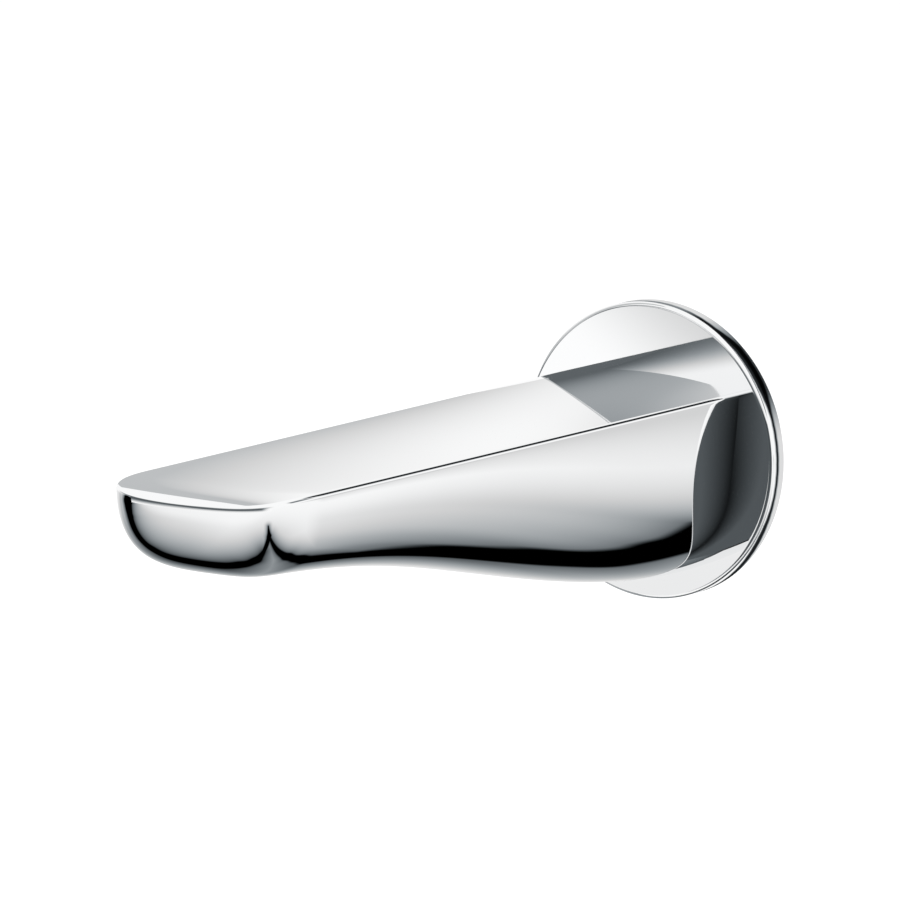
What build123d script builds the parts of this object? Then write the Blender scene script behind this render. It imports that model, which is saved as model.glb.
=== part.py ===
"""Wall-mounted bath spout: cast body, pressed wall plate, screw-in nipple and outlet insert.

Frame: the origin is the middle of the wall plate on the wall plane. +Z is up, the spout reaches out
along -Y and the nipple goes into the wall along +Y. A station is a distance from the wall, so station
s lies at y = -s. Sizes are in millimetres.
"""
import os
from math import comb, cos, hypot, radians, sqrt

from build123d import *

# Wall plate and its seal
plate_diameter = 65.0
plate_depth = 4.7
plate_sheet = 1.2
plate_edge_radius = 0.9
plate_hole_clearance = 0.5
seal_width = 9.0
seal_rim_gap = 2.0

# Outside of the body
projection = 172.0
width_wall = 47.8
width_nose = 45.6
deck_height = 14.9
deck_crown = 2.4
deck_edge_radius = 0.9
nose_length = 18.8
nose_droop = 1.9
nose_lip_steps = 10

# Depth of the keel below the deck: at the wall, on two shoulders of its S curve, at the neck and the nose
depth_wall = 41.2
depth_rear_shoulder = 34.7
depth_front_shoulder = 24.2
depth_neck = 20.7
depth_nose = 18.9

# Fullness of the curves, as shares of the half width or of the depth
nose_fullness = 0.83
side_handle = 0.16
bilge_depth = 0.95
bilge_width_wall = 0.85
bilge_width_nose = 1.0
floor_width_wall = 0.735
floor_width_nose = 0.66

# Inside of the casting
casting_wall = 3.0
bulkhead_thickness = 4.0
socket_wall = 3.5
port_diameter = 15.0
screw_boss_wall = 2.5

# Nipple
thread_diameter = 20.955
thread_length = 15.0
thread_chamfer = 1.0
collar_diameter = 26.0
collar_gap = 0.3
spigot_diameter = 20.0
spigot_reach = 30.0
spigot_clearance = 0.1
spigot_chamfer = 1.0
nipple_bore = 11.8
key_flats = 12.0
key_depth = 10.0

# Seals on the spigot
ring_groove_depth = 1.9
ring_groove_width = 2.3
ring_from_end = 2.4
ring_spacing = 4.8
ring_fit = 0.02

# Locking screw with a dog point
screw_diameter = 6.0
screw_length = 12.0
screw_clearance = 0.05
screw_station = 13.0
screw_point_diameter = 4.0
screw_point_length = 1.8
screw_groove_depth = 1.2
screw_groove_play = 0.2
screw_key_flats = 3.0
screw_key_depth = 3.5

# Outlet insert
outlet_from_tip = 27.0
outlet_bore = 24.0
outlet_clearance = 0.05
outlet_recess = 1.6
outlet_boss_wall = 3.0
outlet_shoulder = 2.0
outlet_port = 19.0
sleeve_height = 5.2
sleeve_wall = 1.6
sleeve_lip = 1.2
sleeve_lip_height = 1.2
key_slot_width = 2.4
key_slot_depth = 1.0
washer_thickness = 1.5
cell_flats = 2.4
cell_web = 0.5

# Places worked out from the sizes above
plate_radius = plate_diameter / 2
plate_back = plate_depth - plate_sheet
body_start = plate_depth
nose_start = projection - nose_length
thread_radius = thread_diameter / 2
spigot_radius = spigot_diameter / 2
socket_radius = spigot_radius + spigot_clearance
bulkhead_start = spigot_reach + spigot_clearance
bulkhead_end = bulkhead_start + bulkhead_thickness
screw_tip = spigot_radius - screw_groove_depth + screw_clearance
outlet_station = projection - outlet_from_tip
outlet_radius = outlet_bore / 2
sleeve_radius = outlet_radius - outlet_clearance


def place(x, station, z):
    """A point at a distance from the wall."""
    return Vector(x, -station, z)


def turned(radius, start, end):
    """A cylinder on the inlet axis, between two stations."""
    return extrude(Plane(place(0, start, 0), z_dir=(0, -1, 0)) * Circle(radius), end - start)


def upright(radius, station, bottom, top):
    """A standing cylinder in the middle of the body."""
    return extrude(Pos(0, -station, bottom) * Circle(radius), top - bottom)


def revolved(outline):
    """A turned piece on the inlet axis, from an outline of radius and station pairs."""
    corners = [(radius, -station) for radius, station in outline]
    return revolve(make_face(Polyline(*corners, close=True)), Axis.Y)


def keel_controls():
    """Control depths of the keel, at even steps from the wall plate to the start of the nose."""
    return [depth_wall, depth_wall, depth_rear_shoulder, depth_front_shoulder, depth_neck, depth_nose]


def keel_level(station):
    """Height of the keel at a station between the wall plate and the start of the nose."""
    depths = keel_controls()
    degree = len(depths) - 1
    share = (station - body_start) / (nose_start - body_start)
    depth = 0
    for i, control in enumerate(depths):
        depth += control * comb(degree, i) * share**i * (1 - share) ** (degree - i)
    return deck_height - depth


def frame_shape(share):
    """Control points of a frame, as shares of its reach and depth, from the deck edge to the keel."""
    bilge_width = bilge_width_wall + (bilge_width_nose - bilge_width_wall) * share
    floor_width = floor_width_wall + (floor_width_nose - floor_width_wall) * share
    return [(1, 0), (1, side_handle), (bilge_width, bilge_depth), (floor_width, 1), (0, 1)]


def side_net(hand, inset):
    """Control net of one side of the hull, from the wall plate to the start of the nose."""
    depths = keel_controls()
    top = deck_height - inset
    rows = []
    for i, depth in enumerate(depths):
        share = i / (len(depths) - 1)
        station = body_start + (nose_start - body_start) * share
        reach = (width_wall + (width_nose - width_wall) * share) / 2 - inset
        drop = depth - 2 * inset
        rows.append([place(hand * reach * out, station, top - drop * down) for out, down in frame_shape(share)])
    return rows


def nose_outline(inset):
    """Control points round one quarter of the nose: distance out, distance ahead and droop of the rim."""
    reach = width_nose / 2 - inset
    length = nose_length - inset
    return [
        (reach, 0, 0),
        (reach, nose_fullness * length, 0),
        (nose_fullness * reach, length, nose_droop),
        (0, length, nose_droop),
    ]


def nose_net(hand, inset):
    """Control net of one quarter of the nose, whose frames fan out from one point on the keel."""
    top = deck_height - inset
    control_step = (nose_start - body_start) / (len(keel_controls()) - 1)
    keel_slope = (depth_nose - depth_neck) / control_step
    rows = []
    for x, ahead, droop in nose_outline(inset):
        row = []
        for out, down in frame_shape(1):
            drop = depth_nose + keel_slope * ahead * out - 2 * inset
            level = top - droop * (1 - down) - drop * down
            row.append(place(hand * x * out, nose_start + ahead * out, level))
        rows.append(row)
    return rows


def nose_deck_net(hand, inset):
    """Control net of half the deck on the nose: flat, with a lip that bends down in the last control step."""
    top = deck_height - inset
    shares = [step / nose_lip_steps for step in range(nose_lip_steps)]
    rows = []
    for x, ahead, droop in nose_outline(inset):
        row = [place(hand * x * share, nose_start + ahead * share, top) for share in shares]
        rows.append(row + [place(hand * x, nose_start + ahead, top - droop)])
    return rows


def deck_net(hand, inset, crown):
    """Control net of half the deck behind the nose: an arch at the wall that flattens towards the nose."""
    top = deck_height - inset
    rows = []
    for share, rise in ((0, crown), (0.5, 0), (1, 0)):
        station = body_start + (nose_start - body_start) * share
        reach = (width_wall + (width_nose - width_wall) * share) / 2 - inset
        ridge = place(0, station, top + rise)
        rows.append([ridge, place(hand * reach / 2, station, top + rise), place(hand * reach, station, top)])
    return rows


def hull(inset, crown):
    """Closed solid of the body's form, drawn in by an inset on every side, with its deck arched."""
    faces = []
    wall_end = []
    for hand in (1, -1):
        side, deck = side_net(hand, inset), deck_net(hand, inset, crown)
        for net in (side, deck, nose_net(hand, inset), nose_deck_net(hand, inset)):
            faces.append(Face.make_bezier_surface(net))
        wall_end += [Edge.make_bezier(*side[0]), Edge.make_bezier(*deck[0])]
    faces.append(Face(Wire(wall_end)))
    return Solid(Shell(faces))


def deck_rim(solid):
    """The edges round the deck, along both sides and round the nose."""
    rim = []
    for edge in solid.edges():
        middle = edge.position_at(0.5)
        if abs(middle.X) > width_nose / 3 and middle.Z > deck_height - nose_droop:
            rim.append(edge)
    return rim


def outlet_levels():
    """Heights of the outlet insert: bottom and top of the sleeve, top of the washer, top of the boss."""
    sleeve_bottom = keel_level(outlet_station) + outlet_recess
    sleeve_top = sleeve_bottom + sleeve_height
    washer_top = sleeve_top + washer_thickness
    return sleeve_bottom, sleeve_top, washer_top, washer_top + outlet_shoulder


def casting_core():
    """The hollow of the casting: the inner form less the bulkhead and the bosses that stand in it."""
    boss_top = outlet_levels()[3]
    floor = keel_level(body_start)
    bulkhead = Pos(0, -(bulkhead_start + bulkhead_end) / 2, 0) * Box(
        2 * width_wall, bulkhead_thickness, 2 * depth_wall
    )
    core = hull(casting_wall, 0) - bulkhead
    core -= turned(socket_radius + socket_wall, body_start, bulkhead_start)
    core -= upright(screw_diameter / 2 + screw_boss_wall, screw_station, floor, -spigot_radius)
    core -= upright(outlet_radius + outlet_boss_wall, outlet_station, floor, boss_top)
    return core


def spout_body():
    """Cast body: outer form with a rounded deck rim, less the core and the machined bores."""
    washer_top, boss_top = outlet_levels()[2:]
    floor = keel_level(body_start)
    outer = hull(0, deck_crown)
    body = fillet(deck_rim(outer), deck_edge_radius) - casting_core()
    body -= turned(socket_radius, body_start, bulkhead_start)
    body -= turned(port_diameter / 2, bulkhead_start, bulkhead_end)
    body -= upright(screw_diameter / 2, screw_station, floor, -screw_tip)
    body -= upright(outlet_radius, outlet_station, floor, washer_top)
    body -= upright(outlet_port / 2, outlet_station, washer_top, boss_top)
    return body


def escutcheon():
    """Pressed wall plate with a rim that turns back to the wall and a rounded front edge."""
    hole_radius = spigot_radius + plate_hole_clearance
    inner_radius = plate_radius - plate_sheet
    plate = revolved([
        (hole_radius, plate_back),
        (inner_radius, plate_back),
        (inner_radius, 0),
        (plate_radius, 0),
        (plate_radius, plate_depth),
        (hole_radius, plate_depth),
    ])
    front_edge = plate.edges().group_by(Axis.Y)[0].sort_by(SortBy.RADIUS)[-1]
    return fillet(front_edge, plate_edge_radius)


def escutcheon_seal():
    """Foam ring that fills the plate's hollow against the wall."""
    outer_radius = plate_radius - plate_sheet - seal_rim_gap
    return turned(outer_radius, 0, plate_back) - turned(outer_radius - seal_width, 0, plate_back)


def ring_stations():
    """Middle stations of the rear and front seal grooves on the spigot."""
    front = spigot_reach - ring_from_end - ring_groove_width / 2
    return front - ring_spacing, front


def groove(station, width, depth):
    """A ring to be cut from the spigot."""
    start, end = station - width / 2, station + width / 2
    return turned(socket_radius, start, end) - turned(spigot_radius - depth, start, end)


def wall_nipple():
    """Turned nipple: thread for the wall elbow, collar, grooved spigot and a hexagon for the key."""
    collar_end = plate_back - collar_gap
    bore_radius = nipple_bore / 2
    nipple = revolved([
        (bore_radius, -thread_length),
        (thread_radius - thread_chamfer, -thread_length),
        (thread_radius, thread_chamfer - thread_length),
        (thread_radius, 0),
        (collar_diameter / 2, 0),
        (collar_diameter / 2, collar_end),
        (spigot_radius, collar_end),
        (spigot_radius, spigot_reach - spigot_chamfer),
        (spigot_radius - spigot_chamfer, spigot_reach),
        (bore_radius, spigot_reach),
    ])
    for station in ring_stations():
        nipple -= groove(station, ring_groove_width, ring_groove_depth)
    nipple -= groove(screw_station, screw_point_diameter + 2 * screw_groove_play, screw_groove_depth)
    key_plane = Plane(place(0, spigot_reach - key_depth, 0), z_dir=(0, -1, 0))
    return nipple - extrude(key_plane * hexagon(key_flats), key_depth)


def hexagon(flats):
    """A hexagon sketch by its width across flats."""
    return RegularPolygon(flats / 2, 6, major_radius=False)


def o_ring(station):
    """A seal squeezed between its groove and the socket."""
    groove_radius = spigot_radius - ring_groove_depth
    section = (socket_radius - groove_radius) / 2 - ring_fit
    return revolve(Pos((socket_radius + groove_radius) / 2, -station) * Circle(section), Axis.Y)


def set_screw():
    """Locking screw that enters the spigot's groove from below, with a hexagon socket in its foot."""
    radius = screw_diameter / 2 - screw_clearance
    foot = -screw_tip - screw_length
    screw = upright(radius, screw_station, foot, -screw_tip - screw_point_length)
    screw += upright(screw_point_diameter / 2, screw_station, foot + screw_key_depth, -screw_tip)
    return screw - extrude(Pos(0, -screw_station, foot) * hexagon(screw_key_flats), screw_key_depth)


def outlet_sleeve():
    """Threaded sleeve in the outlet, with a lip under the grid and two slots for its key."""
    bottom, top = outlet_levels()[:2]
    inner_radius = sleeve_radius - sleeve_wall
    sleeve = upright(sleeve_radius, outlet_station, bottom, top)
    sleeve -= upright(inner_radius - sleeve_lip, outlet_station, bottom, top)
    sleeve -= upright(inner_radius, outlet_station, bottom + sleeve_lip_height, top)
    slot = Box(2 * sleeve_radius, key_slot_width, key_slot_depth, align=(Align.CENTER, Align.CENTER, Align.MIN))
    return sleeve - Pos(0, -outlet_station, bottom) * slot


def outlet_straightener():
    """Honeycomb disc that calms the jet, resting on the lip of the sleeve."""
    bottom, top = outlet_levels()[:2]
    radius = sleeve_radius - sleeve_wall - outlet_clearance
    corner = cell_flats / 2 / cos(radians(30))
    pitch = cell_flats + cell_web
    rows = int(radius / pitch) + 1
    centres = []
    for row in range(-rows, rows + 1):
        for column in range(-2 * rows, 2 * rows + 1):
            x, y = (column + row / 2) * pitch, row * pitch * sqrt(3) / 2
            if hypot(x, y) + corner < radius - sleeve_lip:
                centres.append((x, y))
    cells = [Pos(x, y) * Rot(0, 0, 30) * hexagon(cell_flats) for x, y in centres]
    base = bottom + sleeve_lip_height
    return extrude(Pos(0, -outlet_station, base) * (Circle(radius) - cells), top - base)


def outlet_washer():
    """Flat seal between the sleeve and the shoulder of the outlet."""
    bottom, top = outlet_levels()[1:3]
    washer = upright(sleeve_radius, outlet_station, bottom, top)
    return washer - upright(outlet_port / 2, outlet_station, bottom, top)


os.makedirs("parts", exist_ok=True)
rear_ring, front_ring = ring_stations()
pieces = {
    "spout_body": spout_body(),
    "escutcheon": escutcheon(),
    "escutcheon_seal": escutcheon_seal(),
    "wall_nipple": wall_nipple(),
    "o_ring_rear": o_ring(rear_ring),
    "o_ring_front": o_ring(front_ring),
    "set_screw": set_screw(),
    "outlet_sleeve": outlet_sleeve(),
    "outlet_straightener": outlet_straightener(),
    "outlet_washer": outlet_washer(),
}
for name, piece in pieces.items():
    export_step(piece, f"parts/{name}.step")
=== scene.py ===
# %% [markdown]
# # A chrome bath spout on its wall plate
# The solid model is already built: a cast body, a pressed wall plate, the threaded nipple behind it and
# the small insert in the outlet. This lesson dresses it. Chrome has almost no colour of its own, so most
# of the work is in two places: surfaces smooth enough to mirror a room without a ripple, and a small
# studio that gives them something good to mirror.

# %% Load the solid model
from math import asin, cos, degrees, hypot, pi, radians, sin

import bmesh
import bpy
from mathutils import Matrix, Vector


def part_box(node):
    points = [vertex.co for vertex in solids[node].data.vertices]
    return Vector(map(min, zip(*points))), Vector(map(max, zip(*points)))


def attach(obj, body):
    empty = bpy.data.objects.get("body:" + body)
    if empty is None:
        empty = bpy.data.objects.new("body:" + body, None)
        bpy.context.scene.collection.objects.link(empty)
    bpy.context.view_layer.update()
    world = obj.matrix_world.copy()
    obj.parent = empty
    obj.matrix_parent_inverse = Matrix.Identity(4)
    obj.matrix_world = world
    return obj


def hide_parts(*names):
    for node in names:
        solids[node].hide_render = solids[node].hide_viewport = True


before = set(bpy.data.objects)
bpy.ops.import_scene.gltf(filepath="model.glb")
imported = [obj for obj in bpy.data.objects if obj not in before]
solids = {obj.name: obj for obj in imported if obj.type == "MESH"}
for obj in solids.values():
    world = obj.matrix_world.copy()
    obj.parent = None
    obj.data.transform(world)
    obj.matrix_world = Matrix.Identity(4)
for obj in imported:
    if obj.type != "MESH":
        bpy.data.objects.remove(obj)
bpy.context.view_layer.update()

scene = bpy.context.scene
MM = 0.001
print("solids:", ", ".join(sorted(solids)))

# %% [markdown]
# ## Formulas as nodes
# The body is a sculpted hull, and its shape follows a rule: Bezier curves along it and across it. A rule
# is best given to Geometry Nodes, where every point of a grid is put in its place by a formula. Wiring
# each plus and minus by hand would hide the formula, so this small class writes the math nodes when
# numbers are added or multiplied in the usual way. The studio's light uses it again later.

# %% A number inside a node tree
class Formula:
    """A number in a node tree. Arithmetic with it adds the math nodes that work it out."""

    def __init__(self, tree, socket):
        self.tree = tree
        self.socket = socket

    def math(self, operation, *others):
        node = self.tree.nodes.new("ShaderNodeMath")
        node.operation = operation
        for place, value in zip(node.inputs, (self, *others)):
            plug(self.tree, place, value)
        return Formula(self.tree, node.outputs[0])

    def __add__(self, other):
        return self.math("ADD", other)

    def __sub__(self, other):
        return self.math("SUBTRACT", other)

    def __mul__(self, other):
        return self.math("MULTIPLY", other)

    def __truediv__(self, other):
        return self.math("DIVIDE", other)

    def __rsub__(self, other):
        return self * -1 + other

    __radd__ = __add__
    __rmul__ = __mul__

    def root(self):
        return self.math("SQRT")


def plug(tree, place, value):
    """Puts a formula, or a plain number, into a node's input."""
    if isinstance(value, Formula):
        tree.links.new(value.socket, place)
    else:
        place.default_value = value


def mixed(start, end, share):
    """The number that lies a share of the way from start to end."""
    if isinstance(start, (int, float)) and start == end:
        return start
    node = share.tree.nodes.new("ShaderNodeMix")
    node.clamp_factor = False
    plug(share.tree, node.inputs[0], share)
    plug(share.tree, node.inputs[2], start)
    plug(share.tree, node.inputs[3], end)
    return Formula(share.tree, node.outputs[0])


def bezier(controls, share):
    """A point on a Bezier curve, found by mixing its control values again and again."""
    while len(controls) > 1:
        controls = [mixed(a, b, share) for a, b in zip(controls, controls[1:])]
    return controls[0]


print("formulas write their own nodes")

# %% [markdown]
# ## Trees and pieces
# Every tree gets named inputs for its sizes, so that the piece can be changed later without touching the
# wiring. A piece is made by running the tree once on a seed object, and then keeping the plain mesh.

# %% Helpers for geometry trees
def new_tree(name, sizes):
    """A geometry tree with one named input for each size. Returns it with its inputs as formulas."""
    tree = bpy.data.node_groups.new(name, "GeometryNodeTree")
    tree.interface.new_socket("Geometry", in_out="INPUT", socket_type="NodeSocketGeometry")
    tree.interface.new_socket("Geometry", in_out="OUTPUT", socket_type="NodeSocketGeometry")
    for size in sizes:
        tree.interface.new_socket(size, in_out="INPUT", socket_type="NodeSocketFloat")
    entry = tree.nodes.new("NodeGroupInput")
    return tree, entry.outputs["Geometry"], {size: Formula(tree, entry.outputs[size]) for size in sizes}


def add_node(tree, kind, geometry=(), **inputs):
    """Adds a node, joins geometry to its first input and sets other inputs by name."""
    node = tree.nodes.new(kind)
    for piece in geometry:
        tree.links.new(piece, node.inputs[0])
    for name, value in inputs.items():
        plug(tree, node.inputs[name.replace("_", " ")], value)
    return node


def end_tree(tree, geometry, material):
    """Realizes the result, gives it its finish and hands it out."""
    real = add_node(tree, "GeometryNodeRealizeInstances", [geometry])
    finish = add_node(tree, "GeometryNodeSetMaterial", real.outputs[:1])
    finish.inputs["Material"].default_value = material
    tree.links.new(finish.outputs[0], tree.nodes.new("NodeGroupOutput").inputs[0])


def run_tree(name, tree, sizes, mesh=None):
    """Runs a tree once with these sizes and keeps the result as a plain mesh at the origin."""
    piece = bpy.data.objects.new(name, mesh or bpy.data.meshes.new(name))
    scene.collection.objects.link(piece)
    step = piece.modifiers.new(name, "NODES")
    step.node_group = tree
    for item in tree.interface.items_tree:
        if item.in_out == "INPUT" and item.name in sizes:
            step[item.identifier] = sizes[item.name]
    result = piece.evaluated_get(bpy.context.evaluated_depsgraph_get())
    made = bpy.data.meshes.new_from_object(result)
    piece.modifiers.remove(step)
    piece.data = made
    print(f"{name}: {len(made.polygons)} faces")
    return piece


# %% [markdown]
# ## A grain for every finish
# No real surface has one roughness all over. Polishing, casting and moulding leave a faint cloudiness.
# Several finishes need it, so it is one shader group: a broad cloud for colour and polish, and a fine
# grain for the height of a bump.

# %% The shared grain group
def grain_group():
    """Shader group with a broad cloud and a fine grain, both read from the piece's own coordinates."""
    group = bpy.data.node_groups.new("surface_grain", "ShaderNodeTree")
    for name, start in (("Cloud scale", 40.0), ("Grain scale", 900.0)):
        scale = group.interface.new_socket(name, in_out="INPUT", socket_type="NodeSocketFloat")
        scale.default_value = start
    for name in ("Cloud", "Grain"):
        group.interface.new_socket(name, in_out="OUTPUT", socket_type="NodeSocketFloat")
    entry = group.nodes.new("NodeGroupInput")
    leave = group.nodes.new("NodeGroupOutput")
    place = group.nodes.new("ShaderNodeTexCoord")
    for name, detail in (("Cloud", 2.0), ("Grain", 4.0)):
        noise = group.nodes.new("ShaderNodeTexNoise")
        noise.inputs["Detail"].default_value = detail
        group.links.new(place.outputs["Object"], noise.inputs["Vector"])
        group.links.new(entry.outputs[name + " scale"], noise.inputs["Scale"])
        group.links.new(noise.outputs["Fac"], leave.inputs[name])
    return group


surface_grain = grain_group()
print("surface grain group has", len(surface_grain.nodes), "nodes")

# %% [markdown]
# ## Finishes
# All the finishes share one recipe. The cloud moves the colour between two near shades and the roughness
# between two near values, and the grain lifts the surface by a few thousandths of a millimetre. Chrome
# has hardly any of it, turned brass a little, and the rubber and the foam much more.

# %% Finish recipe and the finishes
def finish(name, shades, polish, metallic=0.0, cloud=40.0, grain=900.0, height=0.0):
    """A material whose colour and roughness drift with the cloud, and whose grain stands by a height."""
    material = bpy.data.materials.new(name)
    material.use_nodes = True
    tree = material.node_tree
    surface = tree.nodes["Principled BSDF"]
    surface.inputs["Metallic"].default_value = metallic
    texture = tree.nodes.new("ShaderNodeGroup")
    texture.node_tree = surface_grain
    texture.inputs["Cloud scale"].default_value = cloud
    texture.inputs["Grain scale"].default_value = grain
    colour = tree.nodes.new("ShaderNodeMix")
    colour.data_type = "RGBA"
    colour.inputs["A"].default_value = (*shades[0], 1)
    colour.inputs["B"].default_value = (*shades[1], 1)
    tree.links.new(texture.outputs["Cloud"], colour.inputs["Factor"])
    tree.links.new(colour.outputs["Result"], surface.inputs["Base Color"])
    rough = mixed(polish[0], polish[1], Formula(tree, texture.outputs["Cloud"]))
    tree.links.new(rough.socket, surface.inputs["Roughness"])
    if height:
        bump = tree.nodes.new("ShaderNodeBump")
        bump.inputs["Distance"].default_value = height
        tree.links.new(texture.outputs["Grain"], bump.inputs["Height"])
        tree.links.new(bump.outputs["Normal"], surface.inputs["Normal"])
    return material


chrome = finish(
    "polished_chrome", [(0.93, 0.935, 0.94), (0.95, 0.955, 0.96)], polish=(0.012, 0.03), metallic=1.0
)
satin_chrome = finish(
    "satin_chrome", [(0.72, 0.73, 0.74), (0.8, 0.81, 0.82)], polish=(0.22, 0.34), metallic=1.0,
    cloud=120.0, grain=2500.0, height=0.004 * MM
)
brass = finish(
    "turned_brass", [(0.72, 0.5, 0.2), (0.83, 0.62, 0.3)], polish=(0.2, 0.36), metallic=1.0,
    cloud=90.0, grain=1800.0, height=0.006 * MM
)
steel = finish(
    "screw_steel", [(0.36, 0.36, 0.37), (0.5, 0.5, 0.51)], polish=(0.3, 0.45), metallic=1.0,
    cloud=200.0, grain=3000.0, height=0.006 * MM
)
rubber = finish(
    "seal_rubber", [(0.012, 0.012, 0.013), (0.03, 0.03, 0.032)], polish=(0.5, 0.7),
    cloud=150.0, grain=2200.0, height=0.01 * MM
)
foam = finish(
    "cell_foam", [(0.05, 0.05, 0.053), (0.1, 0.1, 0.105)], polish=(0.8, 0.95),
    cloud=120.0, grain=1500.0, height=0.15 * MM
)
grid_plastic = finish(
    "grid_plastic", [(0.62, 0.63, 0.64), (0.74, 0.75, 0.76)], polish=(0.35, 0.5),
    cloud=160.0, grain=2600.0, height=0.004 * MM
)
print("finishes:", ", ".join(m.name for m in bpy.data.materials if m.use_nodes))

# %% [markdown]
# ## The hull of the body
# The body is a casting shaped like a small boat: a flat deck, sides that fall straight and then tuck under,
# and a keel that runs in an S from the deep wall end to the shallow nose, where the deck droops into a lip.
# The solid model's own triangles are long and thin, and a mirror shows every one of them. So the same rule
# is laid over fine grids here: each patch is a grid, and its formula gives x, y and z from two shares.

# %% Sizes of the hull
body_low, body_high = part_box("spout_body")
deck_height = 14.9 * MM
nose_length = 18.8 * MM
hull_sizes = {
    "Wall station": -body_high.y,
    "Nose station": -body_low.y - nose_length,
    "Nose length": nose_length,
    "Nose droop": 1.9 * MM,
    "Lip steps": 10.0,
    "Wall width": body_high.x - body_low.x,
    "Nose width": 45.6 * MM,
    "Deck height": deck_height,
    "Deck crown": body_high.z - deck_height,
    "Edge radius": 0.9 * MM,
    "Wall depth": deck_height - body_low.z,
    "Rear shoulder": 34.7 * MM,
    "Front shoulder": 24.2 * MM,
    "Neck": 20.7 * MM,
    "Nose depth": 18.9 * MM,
    "Nose fullness": 0.83,
    "Side handle": 0.16,
    "Bilge depth": 0.95,
    "Wall bilge": 0.85,
    "Nose bilge": 1.0,
    "Wall floor": 0.735,
    "Nose floor": 0.66,
    "Inset": 0.0,
    "First share": 0.0,
    "Detail": 3.0,
}
hull_length = body_high.y - body_low.y
print(f"hull: {hull_length / MM:.1f} mm long, {hull_sizes['Wall width'] / MM:.1f} mm wide at the wall")

# %% [markdown]
# A boat's frames are its ribs, and each cross-section of this hull is drawn as one: a Bezier curve with five
# control points, from the edge of the deck to the keel. Only its bilge and floor change along the body. The
# deck's edge is rounded, so the side starts a little way down that curve. Nodes can't search for the place,
# so it is guessed with a square root and then bettered with one Newton step.

# %% Curves of a frame, which is one cross-section of the hull
def frame_curves(size, share):
    """Control shares of a frame's reach and depth, from the deck edge to the keel."""
    bilge = mixed(size["Wall bilge"], size["Nose bilge"], share)
    floor = mixed(size["Wall floor"], size["Nose floor"], share)
    return [1, 1, bilge, floor, 0], [0, size["Side handle"], size["Bilge depth"], 1, 1]


def edge_share(size, drop, fall):
    """Where on a frame's curve the rounded edge of the deck ends, a given fall below the deck."""
    steep = size["Side handle"] * 4
    bend = size["Bilge depth"] * 6 - steep * 3
    target = fall / drop
    guess = ((steep * steep + bend * target * 4).root() - steep) / (bend * 2)
    reached = bezier([0, size["Side handle"], size["Bilge depth"], 1, 1], guess)
    return guess - (reached - target) / (steep + bend * guess * 2)


# %% [markdown]
# The long part is a loft: its width and its keel change smoothly from the wall to the nose. A cage with a
# Subdivision Surface would be quicker to draw, but chrome shows the smallest wave, and a formula has none.
# Each patch, the deck, the rim and the side, is a method that turns a row's share into a point.

# %% Patches of the long part, from the wall to the nose
class LongPart:
    """The body's sections between the wall plate and the nose, at one share of that length."""

    def __init__(self, size, along):
        share = mixed(size["First share"], 1, along)
        keel = ["Wall depth", "Wall depth", "Rear shoulder", "Front shoulder", "Neck", "Nose depth"]
        self.size = size
        self.y = mixed(size["Wall station"], size["Nose station"], share) * -1
        self.top = size["Deck height"] - size["Inset"]
        self.reach = mixed(size["Wall width"], size["Nose width"], share) / 2 - size["Inset"]
        self.drop = bezier([size[name] for name in keel], share) - size["Inset"] * 2
        self.out, self.down = frame_curves(size, share)
        flat = 1 - share
        self.rise = size["Deck crown"] * flat * flat
        self.slope = self.rise * 2 / self.reach
        round_off = (self.slope * self.slope + 1).root() - self.slope
        self.edge = edge_share(size, self.drop, size["Edge radius"] * round_off)

    def side(self, row):
        share = mixed(self.edge, 1, row)
        return self.reach * bezier(self.out, share), self.y, self.top - self.drop * bezier(self.down, share)

    def rim(self, row):
        turn = (1 - row) * (pi / 2 - self.slope.math("ARCTANGENT"))
        radius = self.size["Edge radius"]
        x, y, z = self.side(row * 0)
        return x - radius + radius * turn.math("COSINE"), y, z + radius * turn.math("SINE")

    def deck(self, row):
        x = self.rim(row * 0)[0] * row * (2 - row)
        across = x / self.reach
        return x, self.y, self.top + self.rise * (1 - across * across)


# %% [markdown]
# Seen from above, the nose is a rounded arch. Its frames swing round an upright line like the ribs of a fan,
# so the side runs into the nose without a kink. The deck bends down close to its edge, which makes the soft
# lip. The lip's slope and the start of its rounding depend on each other, and two rounds settle both.

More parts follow.
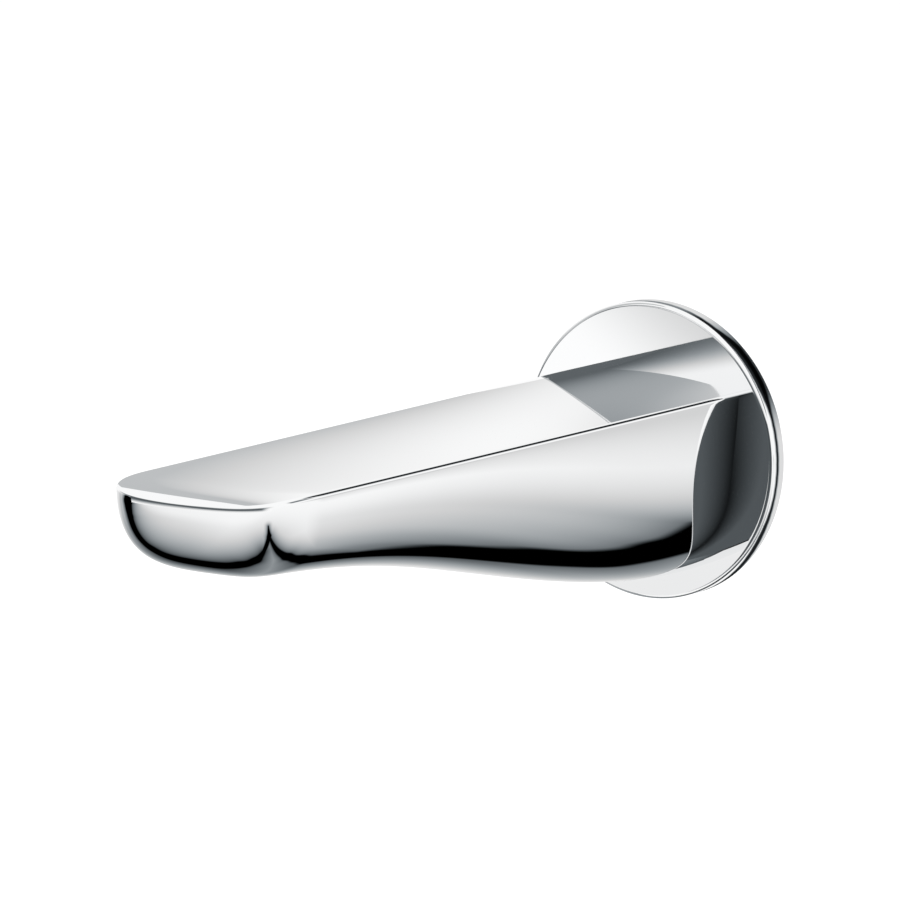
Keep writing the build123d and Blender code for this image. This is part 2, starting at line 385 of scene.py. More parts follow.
# %% Patches of the nose, whose frames fan out from one upright line
class Nose:
    """The nose's sections, which swing round from the side of the body to its tip."""

    def __init__(self, size, along):
        reach = size["Nose width"] / 2 - size["Inset"]
        length = size["Nose length"] - size["Inset"]
        full = size["Nose fullness"]
        steps = (size["Nose station"] - size["Wall station"]) / 5
        self.size = size
        self.start = size["Nose station"]
        self.top = size["Deck height"] - size["Inset"]
        self.droop = size["Nose droop"] * bezier([0, 0, 1, 1], along)
        self.x = bezier([reach, reach, full * reach, 0], along)
        self.ahead = bezier([0, full * length, length, length], along)
        self.lean_x = bezier([0, full * reach - reach, full * reach * -1], along)
        self.lean_ahead = bezier([full * length, length - full * length, 0], along)
        self.rise = (size["Nose depth"] - size["Neck"]) / steps * self.ahead
        self.depth = size["Nose depth"] - size["Inset"] * 2
        self.out, self.down = frame_curves(size, along * 0 + 1)
        out = (self.x * self.x + self.ahead * self.ahead).root()
        rounding = 0.5
        for _ in range(2):
            share = 1 - size["Edge radius"] * rounding / out
            self.fall = self.droop * share.math("POWER", size["Lip steps"])
            self.slope = size["Lip steps"] * self.fall / (share * out)
            steep = (self.slope * self.slope + 1).root()
            rounding = 1 - self.slope / steep
        below_rim = self.fall + size["Edge radius"] / steep - self.droop
        self.edge = edge_share(size, self.depth + self.rise - self.droop, below_rim)

    def side(self, row):
        share = mixed(self.edge, 1, row)
        out = bezier(self.out, share)
        both = bezier([a * b for a, b in zip(self.out, self.down)], share)
        down = bezier(self.down, share)
        z = self.top - self.droop * (1 - down) - self.depth * down - self.rise * both
        return self.x * out, (self.start + self.ahead * out) * -1, z

    def rim(self, row):
        turn = (1 - row) * (pi / 2 - self.slope.math("ARCTANGENT"))
        radius = self.size["Edge radius"]
        length = (self.lean_x * self.lean_x + self.lean_ahead * self.lean_ahead).root()
        pull = radius - radius * turn.math("COSINE")
        x, y, z = self.side(row * 0)
        return (
            x - pull * self.lean_ahead / length,
            y - pull * self.lean_x / length,
            z + radius * turn.math("SINE"),
        )

    def deck(self, row):
        x, y, z = self.rim(row * 0)
        share = row * (2 - row)
        ahead = y * -1 - self.start
        bend = share.math("POWER", self.size["Lip steps"])
        return x * share, (self.start + ahead * share) * -1, self.top - (self.top - z) * bend


# %% [markdown]
# Half of the hull is nine patches, the other half is their mirror image, and the seams are welded so that
# reflections run across them. All the sizes are inputs of the tree. That is why it can be used twice: for
# the outside, and with an inset for the core that hollows the body.

# %% The hull tree
def patch(tree, columns, rows, formula):
    """A grid whose points go where the formula puts them."""
    grid = add_node(tree, "GeometryNodeMeshGrid", Size_X=1, Size_Y=1, Vertices_X=columns, Vertices_Y=rows)
    where = add_node(tree, "ShaderNodeSeparateXYZ")
    tree.links.new(tree.nodes.new("GeometryNodeInputPosition").outputs[0], where.inputs[0])
    along, row = (Formula(tree, where.outputs[axis]) + 0.5 for axis in "XY")
    point = tree.nodes.new("ShaderNodeCombineXYZ")
    for axis, value in zip("XYZ", formula(along, row)):
        plug(tree, point.inputs[axis], value)
    moved = add_node(tree, "GeometryNodeSetPosition", grid.outputs[:1])
    tree.links.new(point.outputs[0], moved.inputs["Position"])
    return moved.outputs[0]


def wall_end(size, part):
    """Formula for the flat end at the wall, drawn from its middle out to one of the long part's edges."""

    def end(along, row):
        x, y, z = getattr(LongPart(size, along * 0), part)(row)
        return x * along, y, z * along

    return end


seam_reach = 0.02 * MM


def hull_tree():
    """The closed hull: half of it from patches, the other half mirrored, and the seams welded."""
    tree, _, size = new_tree("spout_hull", hull_sizes)
    detail = size["Detail"]
    rows = {"deck": detail * 8 + 1, "rim": detail * 3 + 1, "side": detail * 32 + 1}
    long_columns = detail * 40 + 1
    nose_columns = detail * 24 + 1
    end_columns = 3
    half = []
    for part, count in rows.items():
        half.append(patch(tree, long_columns, count, lambda u, v: getattr(LongPart(size, u), part)(v)))
        half.append(patch(tree, nose_columns, count, lambda u, v: getattr(Nose(size, u), part)(v)))
        half.append(patch(tree, end_columns, count, wall_end(size, part)))
    joined = add_node(tree, "GeometryNodeJoinGeometry", half)
    mirrored = add_node(tree, "GeometryNodeTransform", joined.outputs[:1])
    mirrored.inputs["Scale"].default_value = (-1, 1, 1)
    turned = add_node(tree, "GeometryNodeFlipFaces", mirrored.outputs[:1])
    whole = add_node(tree, "GeometryNodeJoinGeometry", [joined.outputs[0], turned.outputs[0]])
    welded = add_node(tree, "GeometryNodeMergeByDistance", whole.outputs[:1], Distance=seam_reach)
    tree.links.new(welded.outputs[0], tree.nodes.new("NodeGroupOutput").inputs[0])
    return tree


spout_hull = hull_tree()
print("hull tree has", len(spout_hull.nodes), "nodes")

# %% [markdown]
# ## Casting the body
# A foundry pours the metal round a core, and machines the bores afterwards. The tree below does the same:
# the hull is the pattern, a smaller hull is the core, the core is notched for the bulkhead and the bosses,
# and the bores are cut last. The result is hollow as the real body is, with the outlet open underneath.

# %% Sizes of the core and the bores
casting_wall = 3.0 * MM
socket_radius = 10.1 * MM
socket_wall = 3.5 * MM
bulkhead_start = 30.1 * MM
bulkhead_end = 34.1 * MM
slab_width = 100 * MM
core_lead = -0.02
port_radius = 7.5 * MM
screw_low, screw_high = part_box("set_screw")
screw_place = (screw_low + screw_high) / 2
screw_hole_radius = 3.0 * MM
screw_boss_radius = 5.5 * MM
sleeve_low, sleeve_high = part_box("outlet_sleeve")
_, washer_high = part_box("outlet_washer")
outlet_y = (sleeve_low.y + sleeve_high.y) / 2
outlet_radius = 12.0 * MM
outlet_boss_wall = 3.0 * MM
outlet_shoulder = 2.0 * MM
outlet_port_radius = 9.5 * MM
spigot_radius = 10.0 * MM
overshoot = 2.0 * MM
below = body_low.z - overshoot
crease = radians(35)
print(f"outlet {-outlet_y / MM:.1f} mm from the wall, screw {-screw_place.y / MM:.1f} mm")

# %% [markdown]
# The cutters are round bars and one slab, as a machinist would see them. The Mesh Boolean node's exact
# solver leaves the hull's grid alone away from the cuts, so the chrome stays smooth. Shading is smooth
# too, apart from edges that are sharper than the crease angle.

# %% The casting tree
def rod(tree, radius, start, end, steps=96):
    """A closed round bar between two points, along Y or along Z."""
    length = (end - start).length
    bar = add_node(tree, "GeometryNodeMeshCylinder", Vertices=steps, Radius=radius, Depth=length)
    put = add_node(tree, "GeometryNodeTransform", bar.outputs[:1])
    put.inputs["Translation"].default_value = (start + end) / 2
    if abs(end.y - start.y) > abs(end.z - start.z):
        put.inputs["Rotation"].default_value = (pi / 2, 0, 0)
    return put.outputs[0]


def cut(tree, block, tools):
    """The block less the tools."""
    node = tree.nodes.new("GeometryNodeMeshBoolean")
    node.operation = "DIFFERENCE"
    node.solver = "EXACT"
    tree.links.new(block, node.inputs[0])
    for tool in tools:
        tree.links.new(tool, node.inputs[1])
    return node.outputs[0]


def hull_node(tree, size, **changes):
    """The hull as one node, with the tree's sizes and some of them changed."""
    node = tree.nodes.new("GeometryNodeGroup")
    node.node_tree = spout_hull
    for name in hull_sizes:
        plug(tree, node.inputs[name], changes.get(name.replace(" ", "_"), size[name]))
    return node.outputs[0]


def smooth(tree, geometry, angle=crease):
    """Shades faces smooth, and keeps edges sharper than the angle crisp."""
    soft = add_node(tree, "GeometryNodeSetShadeSmooth", [geometry])
    corner = tree.nodes.new("GeometryNodeInputMeshEdgeAngle")
    sharp = tree.nodes.new("FunctionNodeCompare")
    tree.links.new(corner.outputs["Unsigned Angle"], sharp.inputs[0])
    sharp.inputs[1].default_value = angle
    crisp = add_node(tree, "GeometryNodeSetShadeSmooth", soft.outputs[:1], Shade_Smooth=False)
    crisp.domain = "EDGE"
    tree.links.new(sharp.outputs[0], crisp.inputs["Selection"])
    return crisp.outputs[0]


def casting_tree():
    """The cast body: the hull less its core, with the bores cut."""
    tree, _, size = new_tree("cast_body", hull_sizes)
    pattern = hull_node(tree, size)
    core = hull_node(
        tree, size, Inset=casting_wall, Deck_crown=0.0, Edge_radius=0.0, First_share=core_lead, Detail=1.0
    )
    wall = Vector((0, body_high.y + overshoot, 0))
    bulkhead = add_node(tree, "GeometryNodeMeshCube")
    bulkhead.inputs["Size"].default_value = (slab_width, bulkhead_end - bulkhead_start, slab_width)
    bulkhead_put = add_node(tree, "GeometryNodeTransform", bulkhead.outputs[:1])
    bulkhead_put.inputs["Translation"].default_value = (0, -(bulkhead_start + bulkhead_end) / 2, 0)
    socket_end = Vector((0, -bulkhead_start, 0))
    port_end = Vector((0, -bulkhead_end - overshoot, 0))
    screw_foot = Vector((0, screw_place.y, below))
    outlet_foot = Vector((0, outlet_y, below))
    boss_top = Vector((0, outlet_y, washer_high.z + outlet_shoulder))
    notched = cut(tree, core, [
        bulkhead_put.outputs[0],
        rod(tree, socket_radius + socket_wall, wall, socket_end - Vector((0, overshoot, 0))),
        rod(tree, screw_boss_radius, screw_foot, Vector((0, screw_place.y, -spigot_radius))),
        rod(tree, outlet_radius + outlet_boss_wall, outlet_foot, boss_top),
    ])
    body = cut(tree, pattern, [
        notched,
        rod(tree, socket_radius, wall, socket_end),
        rod(tree, port_radius, socket_end + Vector((0, overshoot, 0)), port_end),
        rod(tree, screw_hole_radius, screw_foot, Vector((0, screw_place.y, screw_high.z)), 48),
        rod(tree, outlet_radius, outlet_foot, Vector((0, outlet_y, washer_high.z)), 128),
        rod(tree, outlet_port_radius, outlet_foot, boss_top + Vector((0, 0, overshoot))),
    ])
    end_tree(tree, smooth(tree, body), chrome)
    return tree


body = run_tree("body_casting", casting_tree(), hull_sizes)

# %% [markdown]
# ## The wall plate
# The plate is pressed from sheet: a flat face, a rounded edge and a rim that turns back to the wall. It is
# round, so its section is drawn once and turned about the inlet axis. The rounded edge is an arc with
# many steps, because that narrow arc carries the bright line that outlines the plate.

# %% Turn the plate from its section
def rounded(corners, guard, steps=10):
    """A closed section of (radius, y) points, from corners that each have their own rounding."""
    # A guard point on both sides of each rounding keeps the flats between them truly flat in a mirror.
    points = []
    for i, (radius, y, rounding) in enumerate(corners):
        here = Vector((radius, y))
        before = (Vector(corners[i - 1][:2]) - here).normalized()
        after = (Vector(corners[(i + 1) % len(corners)][:2]) - here).normalized()
        middle = here + (before + after) * rounding
        points.append(here + before * (rounding + guard))
        for k in range(steps + 1):
            turn = k / steps * pi / 2
            points.append(middle - after * rounding * cos(turn) - before * rounding * sin(turn))
        points.append(here + after * (rounding + guard))
    return points


def turned_mesh(name, section, steps):
    """A closed mesh made by turning a section about the Y axis."""
    points = []
    for k in range(steps):
        angle = 2 * pi * k / steps
        points += [(p.x * cos(angle), p.y, p.x * sin(angle)) for p in section]
    count = len(section)
    faces = []
    for k in range(steps):
        for i in range(count):
            here, ahead = k * count, (k + 1) % steps * count
            after = (i + 1) % count
            faces.append((here + i, here + after, ahead + after, ahead + i))
    mesh = bpy.data.meshes.new(name)
    mesh.from_pydata(points, [], faces)
    form = bmesh.new()
    form.from_mesh(mesh)
    bmesh.ops.recalc_face_normals(form, faces=form.faces)
    form.to_mesh(mesh)
    form.free()
    mesh.shade_smooth()
    mesh.set_sharp_from_angle(angle=crease)
    return mesh


plate_low, plate_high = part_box("escutcheon")
plate_radius = plate_high.x
plate_sheet = 1.2 * MM
plate_hole = 10.5 * MM
plate_edge = 0.9 * MM
burr = 0.12 * MM
plate_steps = 256
plate_back = plate_low.y + plate_sheet
plate_section = rounded([
    (plate_hole, plate_back, burr),
    (plate_radius - plate_sheet, plate_back, burr),
    (plate_radius - plate_sheet, plate_high.y, burr),
    (plate_radius, plate_high.y, burr),
    (plate_radius, plate_low.y, plate_edge),
    (plate_hole, plate_low.y, burr),
], guard=0.08 * MM)
plate = bpy.data.objects.new("wall_plate", turned_mesh("wall_plate", plate_section, plate_steps))
plate.data.materials.append(chrome)
scene.collection.objects.link(plate)
print(f"wall plate: {2 * plate_radius / MM:.1f} mm across, {len(plate.data.polygons)} faces")

# %% [markdown]
# ## The thread of the nipple
# The nipple screws into the wall elbow with a half-inch pipe thread, 14 turns to the inch. A thread is a
# V-shaped cut that follows a helix, so Geometry Nodes sweep a triangle along a spiral and cut it out of a
# copy of the solid. The rest of the nipple keeps the solid's form, grooves and hexagon included.

# %% Cut the thread along a helix
_, nipple_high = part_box("wall_nipple")
thread_run = 1.2 * MM
thread_sizes = {
    "Pitch": 25.4 / 14 * MM,
    "Thread radius": 20.955 / 2 * MM,
    "Thread depth": 1.162 * MM,
    "Thread start": thread_run,
    "Thread end": nipple_high.y + thread_run,
}
turn_steps = 72
cutter_share = 0.8
thread_crease = radians(25)


def thread_tree():
    """Cuts a helical V from the geometry that comes in."""
    tree, blank, size = new_tree("pipe_thread", thread_sizes)
    height = size["Thread end"] - size["Thread start"]
    tool_radius = size["Thread depth"] * cutter_share
    centre_radius = size["Thread radius"] - size["Thread depth"] + tool_radius
    path = add_node(
        tree, "GeometryNodeCurveSpiral", Resolution=turn_steps, Rotations=height / size["Pitch"],
        Start_Radius=centre_radius, End_Radius=centre_radius, Height=height
    )
    upright = add_node(tree, "GeometryNodeSetCurveNormal", path.outputs[:1])
    upright.mode = "Z_UP"
    profile = tree.nodes.new("GeometryNodeCurvePrimitiveCircle")
    plug(tree, profile.inputs["Resolution"], 3)
    plug(tree, profile.inputs["Radius"], tool_radius)
    tool = add_node(tree, "GeometryNodeCurveToMesh", upright.outputs[:1], Fill_Caps=True)
    tree.links.new(profile.outputs[0], tool.inputs["Profile Curve"])
    laid = add_node(tree, "GeometryNodeTransform", tool.outputs[:1])
    laid.inputs["Rotation"].default_value = (-pi / 2, 0, 0)
    shift = tree.nodes.new("ShaderNodeCombineXYZ")
    plug(tree, shift.inputs["Y"], size["Thread start"])
    tree.links.new(shift.outputs[0], laid.inputs["Translation"])
    end_tree(tree, smooth(tree, cut(tree, blank, [laid.outputs[0]]), thread_crease), brass)
    return tree


def merged_copy(node):
    """A copy of a solid's mesh with its loose triangles joined."""
    form = bmesh.new()
    form.from_mesh(solids[node].data)
    bmesh.ops.remove_doubles(form, verts=form.verts, dist=0.001 * MM)
    mesh = bpy.data.meshes.new(node + "_blank")
    form.to_mesh(mesh)
    form.free()
    return mesh


nipple = run_tree("threaded_nipple", thread_tree(), thread_sizes, merged_copy("wall_nipple"))

# %% [markdown]
# ## Handing the pieces over
# Each new piece rides on the one rigid body, and the solid it was made from is hidden. The other solids are
# shown as they are and only get their finish.

# %% Ride, replace and paint
made_pieces = {
    "spout_body": (body, "chrome"),
    "escutcheon": (plate, "chrome"),
    "wall_nipple": (nipple, "brass"),
}
for node, (piece, slot) in made_pieces.items():
    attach(piece, "root")
    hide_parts(node)

shown_finishes = {
    "escutcheon_seal": foam,
    "o_ring_rear": rubber,
    "o_ring_front": rubber,
    "outlet_washer": rubber,
    "set_screw": steel,
    "outlet_sleeve": satin_chrome,
    "outlet_straightener": grid_plastic,
}
for node, material in shown_finishes.items():
    solids[node].data.materials.clear()
    solids[node].data.materials.append(material)
print(len(made_pieces), "pieces made,", len(shown_finishes), "solids painted")

# %% [markdown]
# ## What the chrome sees
# A chrome object is photographed by building what it mirrors. Cards that glow stand round the spout, and the
# camera itself never sees them. An image of a room would light it more quickly, but cards close by make the
# lines move along the body as they would on a table. These helpers make a card and the masks that paint it.

# %% Masks and cards for the studio
def ramp(value, low, high):
    """Rises smoothly from 0 to 1 as the value goes from low to high."""
    node = value.tree.nodes.new("ShaderNodeMapRange")
    node.interpolation_type = "SMOOTHSTEP"
    for name, number in (("Value", value), ("From Min", low), ("From Max", high)):
        plug(value.tree, node.inputs[name], number)
    return Formula(value.tree, node.outputs["Result"])


def towards(x, y, azimuth, inner, outer):
    """1 within the inner angle of an azimuth, 0 beyond the outer one. Azimuth 0 is +Y and 90 is +X."""
    never_zero = 0.0001
    across = (x * x + y * y).root() + never_zero
    facing = (x * sin(radians(azimuth)) + y * cos(radians(azimuth))) / across
    return ramp(facing, cos(radians(outer)), cos(radians(inner)))


def tape_edge(x, y, start, end):
    """Distance of a point on the card from the edge of a tapering strip of tape, below 0 on the tape."""
    length = hypot(end[0] - start[0], end[1] - start[1])
    way = (end[0] - start[0]) / length, (end[1] - start[1]) / length
    along = (x - start[0]) * way[0] + (y - start[1]) * way[1]
    held = along.math("MAXIMUM", 0).math("MINIMUM", length)
    dx = x - start[0] - held * way[0]
    dy = y - start[1] - held * way[1]
    return (dx * dx + dy * dy).root() - start[2] - held * ((end[2] - start[2]) / length)


def level_square(reach, level):
    """Corners of a level square round the Z axis."""
    return [(-reach, -reach, level), (reach, -reach, level), (reach, reach, level), (-reach, reach, level)]


def upright(start, end, heights):
    """Corners of an upright card that stands on the line between two points and spans two heights."""
    low, high = heights
    return [(*start, low), (*end, low), (*end, high), (*start, high)]


def card(name, corners, faces=None):
    """A card that only reflections see. Returns the tree of its bare material, and x, y and z in it."""
    mesh = bpy.data.meshes.new(name)
    mesh.from_pydata(corners, [], faces or [range(len(corners))])
    sheet = bpy.data.objects.new(name, mesh)
    scene.collection.objects.link(sheet)
    sheet.visible_camera = False
    sheet.visible_diffuse = False
    sheet.visible_shadow = False
    sheet.visible_transmission = False
    material = bpy.data.materials.new(name)
    material.use_nodes = True
    mesh.materials.append(material)
    tree = material.node_tree
    tree.nodes.clear()
    place = tree.nodes.new("ShaderNodeTexCoord")
    where = tree.nodes.new("ShaderNodeSeparateXYZ")
    tree.links.new(place.outputs["Object"], where.inputs[0])
    return tree, [Formula(tree, where.outputs[axis]) for axis in "XYZ"]


def cool_shade(tree, brightness):
    """The colour of a light: white where it is bright, and faintly blue where it is dim."""
    node = tree.nodes.new("ShaderNodeMix")
    node.data_type = "RGBA"
    plug(tree, node.inputs["Factor"], brightness * 1.5)
    node.inputs["A"].default_value = (0.87, 1.0, 1.085, 1)
    node.inputs["B"].default_value = (1, 1, 1, 1)
    return node.outputs["Result"]


def light_card(tree, brightness, only_front=False):
    """Finishes a card: it glows by the given brightness, and may be clear from behind."""
    glow = tree.nodes.new("ShaderNodeEmission")
    plug(tree, glow.inputs["Strength"], brightness)
    tree.links.new(cool_shade(tree, brightness), glow.inputs["Color"])
    result = glow.outputs[0]
    if only_front:
        side = tree.nodes.new("ShaderNodeNewGeometry")
        clear = tree.nodes.new("ShaderNodeBsdfTransparent")
        choice = tree.nodes.new("ShaderNodeMixShader")
        tree.links.new(side.outputs["Backfacing"], choice.inputs[0])
        tree.links.new(result, choice.inputs[1])
        tree.links.new(clear.outputs[0], choice.inputs[2])
        result = choice.outputs[0]
    tree.links.new(result, tree.nodes.new("ShaderNodeOutputMaterial").inputs[0])


# %% [markdown]
# Under the spout lies a white card with a few strips of black tape on it. The tape draws the dark line along
# the bilge and round the nose, and the card greys towards the tape. The strips taper and bend, so each is a
# row of points with a half width, and the distance to it is worked out in the card's material.

# %% The taped card under the spout
card_level = -0.12
card_reach = 1.1
tapes = {
    "across the front": (0.98, 0.13, [
        (-1.5, -1.01, 0.17), (-0.56, -0.33, 0.085), (-0.355, -0.263, 0.036), (-0.142, -0.174, 0.015),
        (-0.09, -0.143, 0.021), (-0.022, -0.171, 0.015), (0.021, -0.178, 0.015), (0.074, -0.196, 0.008),
    ]),
    "out at the corner": (0.97, 0.041, [
        (0.074, -0.196, 0.008), (0.172, -0.232, 0.014), (0.245, -0.295, 0.002),
    ]),
    "back along the body": (0.94, 0.078, [
        (0.168, -0.224, 0.006), (0.061, -0.069, 0.013), (0.028, -0.03, 0.011), (-0.012, 0.003, 0.013),
    ]),
    "out to the wall": (0.9, 0.07, [
        (-0.012, 0.003, 0.013), (0.024, 0.033, 0.014), (0.037, 0.058, 0.017), (0.066, 0.125, 0.015),
        (0.109, 0.178, 0.004),
    ]),
}
tape_softness = 0.008
tape_joint = 0.02
longer_fade = 0.08

tree, (x, y, _) = card("taped_card", level_square(card_reach, card_level))
behind_right = ramp(y, 0.28, 0.46) * ramp(x, 0, 0.2)
behind = ramp(y - x / 2, 0.11, 0.18)
brightness = 1 - 0.22 * behind_right - 0.1 * behind
inside = (1 - ramp(x, -0.02, 0.06)) * ramp(y, -0.15, -0.1)
for darkness, fade, points in tapes.values():
    edge = tape_edge(x, y, points[0], points[1])
    for begin, end in zip(points[1:], points[2:]):
        edge = edge.math("SMOOTH_MIN", tape_edge(x, y, begin, end), tape_joint)
    grey_reach = mixed(fade, fade + longer_fade, inside)
    grey = (edge.math("MAXIMUM", 0) / grey_reach * -1).math("EXPONENT") * darkness
    brightness = brightness.math("MINIMUM", (1 - grey) * ramp(edge, 0, tape_softness))
# Far out in front the card is half white again, and the flat plate mirrors one patch of it.
front_lift = ramp(y * -1, 0.43, 0.58) * 0.5
plate_sees = ramp(y * -1, 0.56, 0.64) * ramp(x * -1, 0.4, 0.47) * ramp(x, -0.68, -0.6)
plate_light = 1.04 - 0.36 * ramp(x - y, 0.195, 0.275)
light_card(tree, mixed(mixed(brightness, 1, front_lift), plate_light, plate_sees))
print("taped card:", ", ".join(tapes))

# %% [markdown]
# Four upright cards stand beside the spout. A graded one on the left gives the deck its slow change from
# grey at the tip to white at the wall. A black flag on the right darkens the plate where it mirrors the side
# of the body, and a darker fold in it draws the joint between them. A bounce card lights the lower plate,
# and a white strip the rounding below it. These three are clear from behind, so the body doesn't see them.

# %% The graded card, the black flag, the bounce card and the strip
graded_x = -0.1
graded_y = (-0.104, 0.16)
graded_z = (0.02, 0.25)
grade_start = 0.04
grade_height = 0.035
tip_y = -0.047
darkest_grey = 0.54
tree, (_, y, z) = card("graded_card", upright((graded_x, graded_y[0]), (graded_x, graded_y[1]), graded_z))
rise = (z - grade_start).math("MINIMUM", grade_height)
level = 0.66 + y * 2.3 + rise * 19.6 - y * rise * 167
tip_level = 0.57 + (y - tip_y) * 7.5
light_card(tree, level.math("MINIMUM", tip_level).math("MAXIMUM", darkest_grey).math("MINIMUM", 1.0))

flag_right, flag_left = (0.11, -0.032), (0.012, -0.1024)
flag_z = (-0.119, 0.03)
flag_grey = 0.1
fold_grey = 0.008
fold_x = 0.0643
fold_lean = 0.088
fold_bow = 3.19
tree, (x, _, z) = card("black_flag", upright(flag_right, flag_left, flag_z))
from_fold = (x - z * fold_lean + z * z * fold_bow - fold_x).math("ABSOLUTE")
light_card(tree, (from_fold * 14 + fold_grey).math("MINIMUM", flag_grey), only_front=True)

bounce_right, bounce_left = (0.007, -0.112), (-0.091, -0.042)
bounce_z = (-0.09, -0.022)
bounce_light = 0.88
tree, _ = card("white_bounce", upright(bounce_right, bounce_left, bounce_z))
light_card(tree, bounce_light, only_front=True)

strip_right, strip_left = (0.08, -0.012), (-0.01, -0.012)
strip_z = (-0.119, -0.036)
tree, _ = card("white_strip", upright(strip_right, strip_left, strip_z))
light_card(tree, 1.0, only_front=True)
print("graded card, black flag, white bounce and white strip stand")

# %% [markdown]
# The turned-back rim of the plate shows a thin black line all along its right side, thickest at the upper
# right. A crescent of card just behind the rim draws it. A photographer would shift such a card until the
# line is right. Here each point of the rim is followed along the ray that it mirrors from the photograph's
# viewing angle, and the card keeps the rim's angle and depth as attributes. So the line is set in
# millimetres on the rim. The card then stays where it is, whatever view is rendered.

# %% The crescent behind the rim
camera_azimuth = 0.6235
camera_elevation = 0.17432
view = Vector((
    -sin(camera_azimuth) * cos(camera_elevation), cos(camera_azimuth) * cos(camera_elevation),
    -sin(camera_elevation),
))


def traced_card(name, rows, *labels):
    """A card of rows of points, each with its own labels. Returns its tree and the labels to paint by."""
    across = len(rows[0])
    faces = [
        (at, at + 1, at + across + 1, at + across)
        for row in range(len(rows) - 1) for at in range(row * across, row * across + across - 1)
    ]
    points = [point for row in rows for point in row]
    tree, _ = card(name, [place for place, _ in points], faces)
    mesh = bpy.data.objects[name].data
    readings = []
    for index, label in enumerate(labels):
        values = [numbers[index] for _, numbers in points]
        mesh.attributes.new(label, "FLOAT", "POINT").data.foreach_set("value", values)
        reader = tree.nodes.new("ShaderNodeAttribute")
        reader.attribute_name = label
        readings.append(Formula(tree, reader.outputs["Fac"]))
    return tree, readings


def met_at(start, way, y):
    """Where a ray from the start meets the upright plane at y."""
    return start + way * ((y - start.y) / way.y)


crescent_y = 0.6 * MM
angle_step = radians(5)
depth_step = 0.4
crescent_rows = []
for row in range(-15, 23):
    angle = angle_step * row
    outward = Vector((cos(angle), 0, sin(angle)))
    leaving = view.reflect(outward)
    crescent_rows.append([])
    for column in range(-1, 11):
        depth = depth_step * column
        start = outward * plate_radius - Vector((0, depth * MM, 0))
        crescent_rows[-1].append((met_at(start, leaving, crescent_y), (degrees(angle), depth)))
tree, (angle, depth) = traced_card("rim_crescent", crescent_rows, "rim_angle", "rim_depth")
thick = ramp(angle, 16, 33) * (1 - ramp(angle, 48, 62))
upper = ramp(angle, 46, 62)
lower = ramp(angle * -1, 10, 36)
centre = 2.28 + 1.05 * upper - 1.9 * ramp(angle * -1, 25, 68) - 0.15 * thick
half_width = 0.12 + 0.9 * thick + 0.65 * upper + 0.5 * lower
beside = (depth - centre).math("ABSOLUTE") - half_width
line_softness = 0.75
black = (1 - ramp(beside, 0, line_softness)) * (0.98 - 0.3 * ramp(angle, 66, 78))
rear_dark = ramp(angle, 8, 31) * (1 - ramp(angle, 47, 70))
rear = mixed(0.75 - 0.7 * rear_dark, 1, ramp(depth - centre, 0, 0.6))
light_card(tree, rear * (1 - black))
print(f"crescent of {len(crescent_rows)} rows stands behind the rim")

# %% [markdown]
# The plate mirrors the deck, and the deck there mirrors the front of the room. An upright screen in front
# of the wall is what this twice mirrored ray meets. It is laid out by the same tracing, from points of the
# crowned deck, and it brightens with the rise of the ray, so the mirrored deck goes from dark to white.

# %% The screen that the mirrored deck sees
screen_y = -0.1
screen_dark = 0.1
screen_white = 0.97
white_rise = 13
deck_crown = hull_sizes["Deck crown"]
deck_side = body_high.x
deck_step = 4 * MM
deck_end = -64 * MM
row_step = 6 * MM
screen_rows = []
from_plate = view.reflect(Vector((0, 1, 0)))
for row in range(-4, 7):
    deck_x = deck_step * row
    lean = 2 * deck_crown * deck_x / deck_side ** 2
    leaving = from_plate.reflect(Vector((lean, 0, 1)).normalized())
    deck_z = body_high.z - deck_crown * (deck_x / deck_side) ** 2
    screen_rows.append([])
    for column in range(11):
        deck_y = min(deck_end + row_step * column, body_high.y)
        place = met_at(Vector((deck_x, deck_y, deck_z)), leaving, screen_y)
        screen_rows[-1].append((place, (degrees(asin(leaving.z)),)))
tree, (rise,) = traced_card("deck_screen", screen_rows, "ray_rise")
light_card(tree, mixed(screen_dark, screen_white, ramp(rise, 0, white_rise)), only_front=True)
print(f"screen of {len(screen_rows)} rows stands in front of the wall")

# %% [markdown]
# A thin dark line runs under the lip of the nose. A low band that curves round the nose draws its lower
# half, and the dark end of the room beyond it draws the upper half. The band is soft along its lower edge,
# so the line fades into the white below it.

# %% The band round the nose
band_radius = 0.12
band_centre = body_low.y + nose_length
band_foot = -0.0115
band_dark_from = -0.0068
band_top = 0.004
band_darkness = 0.9
band = []
for step in range(-12, 14):
    turn = angle_step * step
    for band_z in (band_foot, band_top):
        band.append((band_radius * sin(turn), band_centre - band_radius * cos(turn), band_z))
faces = [(at, at + 2, at + 3, at + 1) for at in range(0, len(band) - 2, 2)]
tree, (x, _, z) = card("nose_band", band, faces)
right_end = ramp(x, 0.078, 0.106)
light_card(tree, 1 - band_darkness * ramp(z, band_foot, band_dark_from) * (1 - right_end))
print(f"band of {len(faces)} faces curves round the nose")

# %% [markdown]
# ## The room
# The room is white to the camera and lights the other pieces evenly. Reflections see a white ceiling and a
# few dark patches. One lies low in front and draws the upper half of the line under the lip of the nose. Two
# lie side by side behind the wall, on the right, and draw the line along the near edge of the deck. They are
# painted by direction in the world, because nothing that far away needs a place.

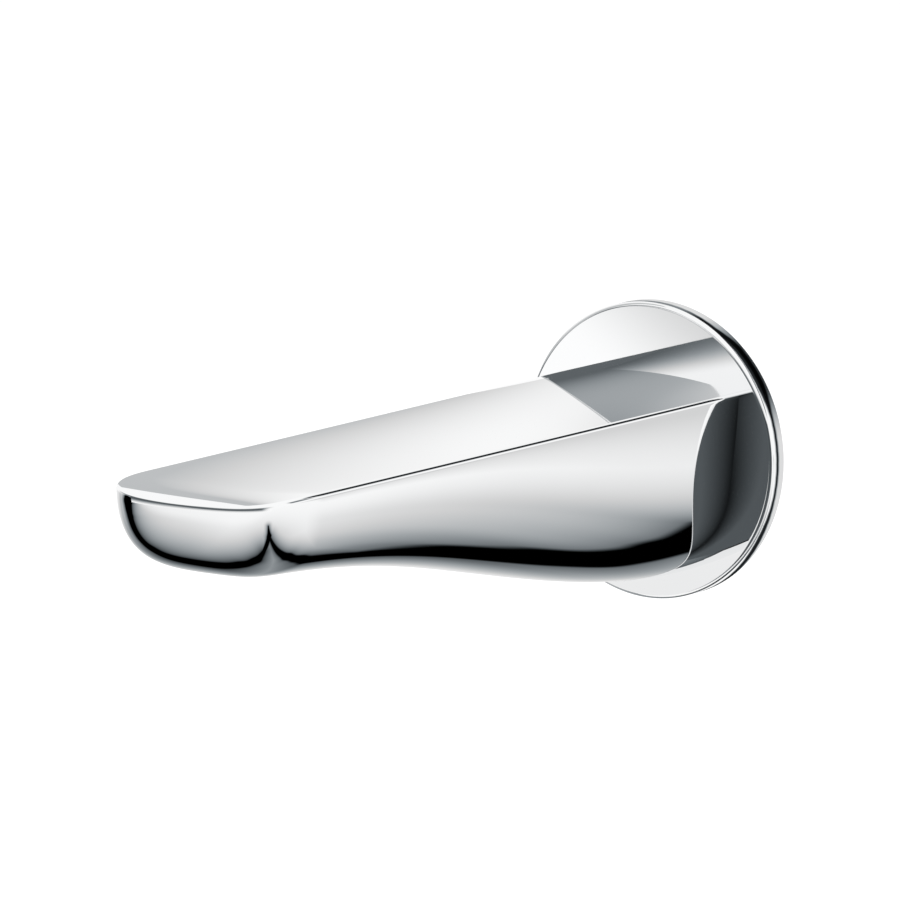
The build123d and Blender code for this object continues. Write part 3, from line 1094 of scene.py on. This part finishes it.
# %% World
def build_room():
    """White for the camera, plain light for matt pieces, and a room with dark patches for reflections."""
    world = bpy.data.worlds.new("white_room")
    scene.world = world
    world.use_nodes = True
    tree = world.node_tree
    place = tree.nodes.new("ShaderNodeTexCoord")
    where = tree.nodes.new("ShaderNodeSeparateXYZ")
    tree.links.new(place.outputs["Generated"], where.inputs[0])
    x, y, z = (Formula(tree, where.outputs[axis]) for axis in "XYZ")
    height = z.math("ARCSINE") * (180 / pi)
    left = towards(x, y, -105, 35, 43)
    top = 1 - ramp(height, 9 - 6 * left, 31 - 19 * left)
    front = towards(x, y, -165, 45, 90) * top * ramp(height, -9, -6)
    sides = towards(x, y, 17, 12, 20) + towards(x, y, 54, 12, 18) * 0.8
    back = sides * ramp(height, 15, 21) * (1 - ramp(height, 40, 48))
    front_darkness = 0.87
    back_darkness = 0.98
    seen = (1 - front * front_darkness) * (1 - back * back_darkness)
    path = tree.nodes.new("ShaderNodeLightPath")
    camera, glossy = (Formula(tree, path.outputs[name]) for name in ("Is Camera Ray", "Is Glossy Ray"))
    plain = 0.8
    strength = camera + glossy * seen + (1 - camera - glossy) * plain
    plug(tree, tree.nodes["Background"].inputs["Strength"], strength)
    tree.links.new(cool_shade(tree, strength), tree.nodes["Background"].inputs["Color"])


build_room()
print("room built")

# %% [markdown]
# ## Floor and lamp
# A pale floor lies under the spout. To the camera it is lifted to white, and it still takes the soft shadow
# of the big lamp overhead. The chrome sees neither of them, because the cards already are its room.

# %% Floor and lamp
floor_level = card_level - 0.001
floor_reach = 6.0
floor_lift = 0.35
floor_mesh = bpy.data.meshes.new("floor")
floor_mesh.from_pydata(level_square(floor_reach, floor_level), [], [range(4)])
floor = bpy.data.objects.new("floor", floor_mesh)
scene.collection.objects.link(floor)
floor.visible_glossy = False
pale = bpy.data.materials.new("pale_floor")
pale.use_nodes = True
tree = pale.node_tree
surface = tree.nodes["Principled BSDF"]
surface.inputs["Base Color"].default_value = (0.82, 0.82, 0.82, 1)
surface.inputs["Roughness"].default_value = 0.9
surface.inputs["Emission Color"].default_value = (1, 1, 1, 1)
ray = tree.nodes.new("ShaderNodeLightPath")
plug(tree, surface.inputs["Emission Strength"], Formula(tree, ray.outputs["Is Camera Ray"]) * floor_lift)
floor_mesh.materials.append(pale)

lamp_data = bpy.data.lights.new("overhead_softbox", "AREA")
lamp_data.shape = "RECTANGLE"
lamp_data.size = 1.2
lamp_data.size_y = 1.0
lamp_data.energy = 5.0
lamp = bpy.data.objects.new("overhead_softbox", lamp_data)
lamp.location = (0.2, -0.3, 1.4)
lamp.visible_glossy = False
scene.collection.objects.link(lamp)
print(f"floor {-floor_level:.3f} m below the inlet, lamp {lamp.location.z:.1f} m above it")

# %% [markdown]
# ## Camera
# Catalogue photographs are taken from far off with a long lens, so the lines of the body stay nearly
# parallel. The lens follows from how many pixels the plate's radius covers at that distance. The camera is
# moved sideways to frame the spout, which leaves the lens shift at zero for other views.

# %% Camera
camera_distance = 2.16667
image_width = 900
plate_pixels = 149.84617
moved_left, moved_down = 1.39768 * plate_radius, 0.01582 * plate_radius

right = Vector((cos(camera_azimuth), sin(camera_azimuth), 0))
back = -view
up = back.cross(right)
camera_data = bpy.data.cameras.new("catalogue_camera")
camera_data.sensor_width = 36.0
lens_pixels = plate_pixels * camera_distance / plate_radius
camera_data.lens = lens_pixels / image_width * camera_data.sensor_width
camera = bpy.data.objects.new("catalogue_camera", camera_data)
place = back * camera_distance - right * moved_left - up * moved_down
camera.matrix_world = Matrix.Translation(place) @ Matrix((right, up, back)).transposed().to_4x4()
camera_data.clip_end = 20
scene.collection.objects.link(camera)
scene.camera = camera
scene.view_settings.view_transform = "Standard"
print(f"camera {camera_distance:.2f} m away, lens {camera_data.lens:.0f} mm")
